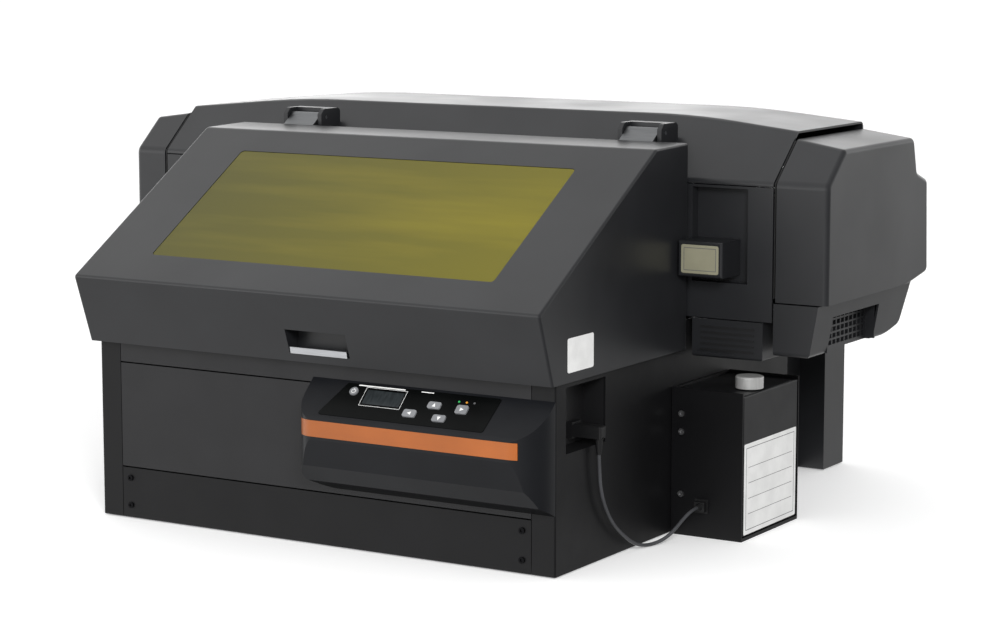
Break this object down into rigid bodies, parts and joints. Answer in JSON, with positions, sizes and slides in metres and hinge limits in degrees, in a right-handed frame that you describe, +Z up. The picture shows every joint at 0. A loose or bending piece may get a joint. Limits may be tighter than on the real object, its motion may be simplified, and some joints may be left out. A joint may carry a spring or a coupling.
{
  "type": "flatbed uv printer",
  "caption": "Desktop flatbed UV printer with a hinged front hood and amber window, crossing gantry, moving table and side waste box.",
  "frame": {"origin": "middle of the printer's footprint on the surface it stands on", "axes": "+Z up, -Y towards the operator (hood and console side), +X to the operator's right"},
  "size_m": [1.2, 0.962, 0.583],
  "materials": {
    "cover_plastic": "satin charcoal moulded plastic",
    "base_paint": "textured charcoal powder coat",
    "console_plastic": "satin dark grey plastic",
    "accent_orange": "satin orange plastic",
    "panel_gloss": "polished black",
    "display": "liquid crystal display behind clear plastic",
    "key_plastic": "light grey key tops",
    "window_amber": "amber light-blocking acrylic",
    "black_rubber": "black rubber",
    "silver_metal": "brushed aluminium",
    "steel": "brushed steel",
    "grey_metal": "zinc plated and painted sheet",
    "black_metal": "black painted sheet",
    "black_plastic": "black moulded plastic",
    "tank_plastic": "grey plastic",
    "cap_metal": "satin metal",
    "cable_jacket": "grey cable jacket",
    "board_green": "circuit board"
  },
  "bodies": {
    "chassis": {"base_tray": "grey_metal", "cable_plugs": "black_plastic", "cable_sockets": "black_plastic", "carriage_belt": "black_rubber", "carriage_rail": "steel", "console_display": "display", "console_housing": "console_plastic", "console_panel": "panel_gloss", "control_board": "board_green", "cover_screws": "steel", "drive_motors": "black_metal", "feet": "black_rubber", "front_lower_panel": "base_paint", "front_panel": "base_paint", "front_upper_strip": "base_paint", "gantry_beam": "silver_metal", "gantry_frames": "grey_metal", "gantry_front_covers": "cover_plastic", "gantry_rear_cover": "cover_plastic", "hinge_brackets": "cover_plastic", "hinge_pins": "steel", "ink_bay": "cover_plastic", "ink_cartridges": "black_plastic", "left_end_cap": "cover_plastic", "left_side_cover": "base_paint", "left_skirt": "cover_plastic", "maintenance_tray": "cover_plastic", "orange_bar": "accent_orange", "power_inlet": "black_plastic", "power_supply": "grey_metal", "rear_cover": "base_paint", "right_end_cap": "cover_plastic", "right_side_cover": "base_paint", "right_skirt": "cover_plastic", "sensor_cable": "cable_jacket", "side_recess_liner": "black_plastic", "table_rails": "steel", "top_cover": "cover_plastic", "waste_holder": "black_metal"},
    "hood": {"hood_shell": "cover_plastic", "hood_window": "window_amber", "window_seal": "black_rubber", "hood_handle": "silver_metal", "hinge_leaves": "grey_metal"},
    "table_frame": {"table_carriage": "grey_metal"},
    "table": {"table_top": "silver_metal"},
    "table_screw": {"table_screw": "steel"},
    "carriage": {"print_carriage": "black_plastic", "uv_lamps": "black_metal"},
    "drive_pulley": {"drive_pulley": "black_plastic"},
    "idler_pulley": {"idler_pulley": "black_plastic"},
    "cap_station": {"cap_unit": "black_plastic"},
    "power_key": {"power_key": "key_plastic"},
    "left_key": {"left_key": "key_plastic"},
    "up_key": {"up_key": "key_plastic"},
    "down_key": {"down_key": "key_plastic"},
    "right_key": {"right_key": "key_plastic"},
    "power_switch": {"power_switch": "black_plastic"},
    "waste_tank": {"waste_tank": "tank_plastic"},
    "waste_cap": {"waste_cap": "cap_metal"}
  },
  "joints": [
    {"name": "hood_hinge", "type": "hinge", "parent": "chassis", "child": "hood", "pos_m": [0, -0.046, 0.561], "axis": [-1, 0, 0], "range_deg": [0, 70]},
    {"name": "table_travel", "type": "slide", "parent": "chassis", "child": "table_frame", "axis": [0, 1, 0], "range_m": [0, 0.455]},
    {"name": "table_screw_turn", "type": "hinge", "parent": "chassis", "child": "table_screw", "pos_m": [0, 0, 0.04], "axis": [0, 1, 0], "continuous": true},
    {"name": "table_lift", "type": "slide", "parent": "table_frame", "child": "table", "axis": [0, 0, 1], "range_m": [-0.09, 0]},
    {"name": "carriage_travel", "type": "slide", "parent": "chassis", "child": "carriage", "axis": [-1, 0, 0], "range_m": [0, 0.88]},
    {"name": "drive_pulley_turn", "type": "hinge", "parent": "chassis", "child": "drive_pulley", "pos_m": [0.548, 0, 0.491], "axis": [0, 1, 0], "continuous": true},
    {"name": "idler_pulley_turn", "type": "hinge", "parent": "chassis", "child": "idler_pulley", "pos_m": [-0.548, 0, 0.491], "axis": [0, 1, 0], "continuous": true},
    {"name": "cap_lift", "type": "slide", "parent": "chassis", "child": "cap_station", "axis": [0, 0, 1], "range_m": [-0.016, 0]},
    {"name": "power_switch_rock", "type": "hinge", "parent": "chassis", "child": "power_switch", "pos_m": [-0.202, 0.471, 0.089], "axis": [1, 0, 0], "range_deg": [0, 12]},
    {"name": "waste_tank_slide", "type": "slide", "parent": "chassis", "child": "waste_tank", "axis": [1, 0, 0], "range_m": [0, 0.1]},
    {"name": "waste_cap_turn", "type": "hinge", "parent": "waste_tank", "child": "waste_cap", "pos_m": [0.472, -0.046, 0.215], "axis": [0, 0, 1], "range_deg": [0, 90]},
    {"name": "power_key_press", "type": "slide", "parent": "chassis", "child": "power_key", "axis": [0, 0.6916, -0.7223], "range_m": [0, 0.0015], "stiffness_N_per_m": 400, "springref_m": -0.0006},
    {"name": "left_key_press", "type": "slide", "parent": "chassis", "child": "left_key", "axis": [0, 0.6916, -0.7223], "range_m": [0, 0.0015], "stiffness_N_per_m": 400, "springref_m": -0.0006},
    {"name": "up_key_press", "type": "slide", "parent": "chassis", "child": "up_key", "axis": [0, 0.6916, -0.7223], "range_m": [0, 0.0015], "stiffness_N_per_m": 400, "springref_m": -0.0006},
    {"name": "down_key_press", "type": "slide", "parent": "chassis", "child": "down_key", "axis": [0, 0.6916, -0.7223], "range_m": [0, 0.0015], "stiffness_N_per_m": 400, "springref_m": -0.0006},
    {"name": "right_key_press", "type": "slide", "parent": "chassis", "child": "right_key", "axis": [0, 0.6916, -0.7223], "range_m": [0, 0.0015], "stiffness_N_per_m": 400, "springref_m": -0.0006}
  ],
  "couplings": [
    {"joint": "table_screw_turn", "follows": "table_travel", "rad_per_m": 157.08},
    {"joint": "drive_pulley_turn", "follows": "carriage_travel", "rad_per_m": 89.286},
    {"joint": "idler_pulley_turn", "follows": "carriage_travel", "rad_per_m": 89.286}
  ]
}
